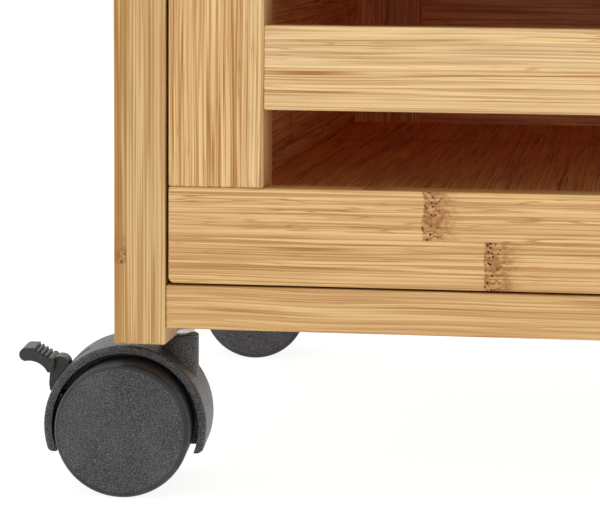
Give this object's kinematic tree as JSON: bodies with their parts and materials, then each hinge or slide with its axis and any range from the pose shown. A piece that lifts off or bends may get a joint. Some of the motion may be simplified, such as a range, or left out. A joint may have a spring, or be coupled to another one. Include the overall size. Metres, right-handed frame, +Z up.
{
  "type": "rolling utility cart",
  "caption": "Rolling bamboo utility cart: a case on twin-wheel swivel castors, with slatted-front drawers that pull out on ball-bearing slides and brake pedals at the front.",
  "frame": {"origin": "on the floor under the centre of the case", "axes": "+X right, +Y to the rear (drawers pull out towards -Y), +Z up"},
  "size_m": [0.5046, 0.394, 0.601],
  "materials": {
    "bamboo": "satin clear lacquer",
    "bamboo_panel": "satin clear lacquer",
    "bamboo_box": "satin clear lacquer",
    "castor_plastic": "fine pebble texture",
    "pedal_plastic": "smooth satin",
    "zinc_plate": "bright zinc plate",
    "slide_steel": "zinc plate",
    "cage_steel": "zinc plate"
  },
  "bodies": {
    "cart_frame": {"front_posts": "bamboo", "rear_posts": "bamboo", "base_front_rail": "bamboo", "base_rear_rail": "bamboo", "base_side_rails": "bamboo", "base_panel": "bamboo_panel", "left_side_panel": "bamboo_panel", "right_side_panel": "bamboo_panel", "back_panel": "bamboo_panel", "top_board": "bamboo", "front_dividers": "bamboo", "slide_case_members": "slide_steel", "slide_screws": "zinc_plate", "castor_stems": "zinc_plate"},
    "drawer_1": {"drawer_1_front_rails": "bamboo", "drawer_1_front_stiles": "bamboo", "drawer_1_front_slat": "bamboo", "drawer_1_sides": "bamboo_box", "drawer_1_corner_blocks": "bamboo_box", "drawer_1_back": "bamboo_box", "drawer_1_floor": "bamboo_box", "drawer_1_slide_bars": "slide_steel"},
    "ball_cages_1": {"drawer_1_ball_cages": "cage_steel"},
    "drawer_2": {"drawer_2_front_rails": "bamboo", "drawer_2_front_stiles": "bamboo", "drawer_2_front_slat": "bamboo", "drawer_2_sides": "bamboo_box", "drawer_2_corner_blocks": "bamboo_box", "drawer_2_back": "bamboo_box", "drawer_2_floor": "bamboo_box", "drawer_2_slide_bars": "slide_steel"},
    "ball_cages_2": {"drawer_2_ball_cages": "cage_steel"},
    "drawer_3": {"drawer_3_front_rails": "bamboo", "drawer_3_front_stiles": "bamboo", "drawer_3_front_slat": "bamboo", "drawer_3_sides": "bamboo_box", "drawer_3_corner_blocks": "bamboo_box", "drawer_3_back": "bamboo_box", "drawer_3_floor": "bamboo_box", "drawer_3_slide_bars": "slide_steel"},
    "ball_cages_3": {"drawer_3_ball_cages": "cage_steel"},
    "front_left_castor": {"front_left_castor_housing": "castor_plastic", "front_left_castor_axle": "zinc_plate"},
    "front_left_castor_front_wheel": {"front_left_castor_front_wheel": "castor_plastic"},
    "front_left_castor_rear_wheel": {"front_left_castor_rear_wheel": "castor_plastic"},
    "front_left_castor_brake_pedal": {"front_left_castor_brake_pedal": "pedal_plastic"},
    "front_right_castor": {"front_right_castor_housing": "castor_plastic", "front_right_castor_axle": "zinc_plate"},
    "front_right_castor_front_wheel": {"front_right_castor_front_wheel": "castor_plastic"},
    "front_right_castor_rear_wheel": {"front_right_castor_rear_wheel": "castor_plastic"},
    "front_right_castor_brake_pedal": {"front_right_castor_brake_pedal": "pedal_plastic"},
    "rear_left_castor": {"rear_left_castor_housing": "castor_plastic", "rear_left_castor_axle": "zinc_plate"},
    "rear_left_castor_front_wheel": {"rear_left_castor_front_wheel": "castor_plastic"},
    "rear_left_castor_rear_wheel": {"rear_left_castor_rear_wheel": "castor_plastic"},
    "rear_right_castor": {"rear_right_castor_housing": "castor_plastic", "rear_right_castor_axle": "zinc_plate"},
    "rear_right_castor_front_wheel": {"rear_right_castor_front_wheel": "castor_plastic"},
    "rear_right_castor_rear_wheel": {"rear_right_castor_rear_wheel": "castor_plastic"}
  },
  "joints": [
    {"name": "drawer_1_slide", "type": "slide", "parent": "cart_frame", "child": "drawer_1", "axis": [0, -1, 0], "range_m": [0, 0.25]},
    {"name": "drawer_1_cage_slide", "type": "slide", "parent": "cart_frame", "child": "ball_cages_1", "axis": [0, -1, 0], "range_m": [0, 0.125]},
    {"name": "drawer_2_slide", "type": "slide", "parent": "cart_frame", "child": "drawer_2", "axis": [0, -1, 0], "range_m": [0, 0.25]},
    {"name": "drawer_2_cage_slide", "type": "slide", "parent": "cart_frame", "child": "ball_cages_2", "axis": [0, -1, 0], "range_m": [0, 0.125]},
    {"name": "drawer_3_slide", "type": "slide", "parent": "cart_frame", "child": "drawer_3", "axis": [0, -1, 0], "range_m": [0, 0.25]},
    {"name": "drawer_3_cage_slide", "type": "slide", "parent": "cart_frame", "child": "ball_cages_3", "axis": [0, -1, 0], "range_m": [0, 0.125]},
    {"name": "front_left_castor_swivel", "type": "hinge", "parent": "cart_frame", "child": "front_left_castor", "pos_m": [-0.192, -0.158, 0.05], "axis": [0, 0, 1], "continuous": true},
    {"name": "front_left_castor_front_wheel_spin", "type": "hinge", "parent": "front_left_castor", "child": "front_left_castor_front_wheel", "pos_m": [-0.21092, -0.15976, 0.025], "axis": [-0.0924, 0.9957, 0], "continuous": true},
    {"name": "front_left_castor_rear_wheel_spin", "type": "hinge", "parent": "front_left_castor", "child": "front_left_castor_rear_wheel", "pos_m": [-0.21092, -0.15976, 0.025], "axis": [-0.0924, 0.9957, 0], "continuous": true},
    {"name": "front_left_castor_brake", "type": "hinge", "parent": "front_left_castor", "child": "front_left_castor_brake_pedal", "pos_m": [-0.23402, -0.1619, 0.039], "axis": [0.0924, -0.9957, 0], "range_deg": [0, 12]},
    {"name": "front_right_castor_swivel", "type": "hinge", "parent": "cart_frame", "child": "front_right_castor", "pos_m": [0.192, -0.158, 0.05], "axis": [0, 0, 1], "continuous": true},
    {"name": "front_right_castor_front_wheel_spin", "type": "hinge", "parent": "front_right_castor", "child": "front_right_castor_front_wheel", "pos_m": [0.21092, -0.15976, 0.025], "axis": [-0.0924, -0.9957, 0], "continuous": true},
    {"name": "front_right_castor_rear_wheel_spin", "type": "hinge", "parent": "front_right_castor", "child": "front_right_castor_rear_wheel", "pos_m": [0.21092, -0.15976, 0.025], "axis": [-0.0924, -0.9957, 0], "continuous": true},
    {"name": "front_right_castor_brake", "type": "hinge", "parent": "front_right_castor", "child": "front_right_castor_brake_pedal", "pos_m": [0.23402, -0.1619, 0.039], "axis": [0.0924, 0.9957, 0], "range_deg": [0, 12]},
    {"name": "rear_left_castor_swivel", "type": "hinge", "parent": "cart_frame", "child": "rear_left_castor", "pos_m": [-0.192, 0.158, 0.05], "axis": [0, 0, 1], "continuous": true},
    {"name": "rear_left_castor_front_wheel_spin", "type": "hinge", "parent": "rear_left_castor", "child": "rear_left_castor_front_wheel", "pos_m": [-0.21092, 0.15624, 0.025], "axis": [-0.0924, 0.9957, 0], "continuous": true},
    {"name": "rear_left_castor_rear_wheel_spin", "type": "hinge", "parent": "rear_left_castor", "child": "rear_left_castor_rear_wheel", "pos_m": [-0.21092, 0.15624, 0.025], "axis": [-0.0924, 0.9957, 0], "continuous": true},
    {"name": "rear_right_castor_swivel", "type": "hinge", "parent": "cart_frame", "child": "rear_right_castor", "pos_m": [0.192, 0.158, 0.05], "axis": [0, 0, 1], "continuous": true},
    {"name": "rear_right_castor_front_wheel_spin", "type": "hinge", "parent": "rear_right_castor", "child": "rear_right_castor_front_wheel", "pos_m": [0.21092, 0.15624, 0.025], "axis": [-0.0924, -0.9957, 0], "continuous": true},
    {"name": "rear_right_castor_rear_wheel_spin", "type": "hinge", "parent": "rear_right_castor", "child": "rear_right_castor_rear_wheel", "pos_m": [0.21092, 0.15624, 0.025], "axis": [-0.0924, -0.9957, 0], "continuous": true}
  ],
  "couplings": [
    {"joint": "drawer_1_cage_slide", "follows": "drawer_1_slide", "ratio": 0.5},
    {"joint": "drawer_2_cage_slide", "follows": "drawer_2_slide", "ratio": 0.5},
    {"joint": "drawer_3_cage_slide", "follows": "drawer_3_slide", "ratio": 0.5}
  ]
}
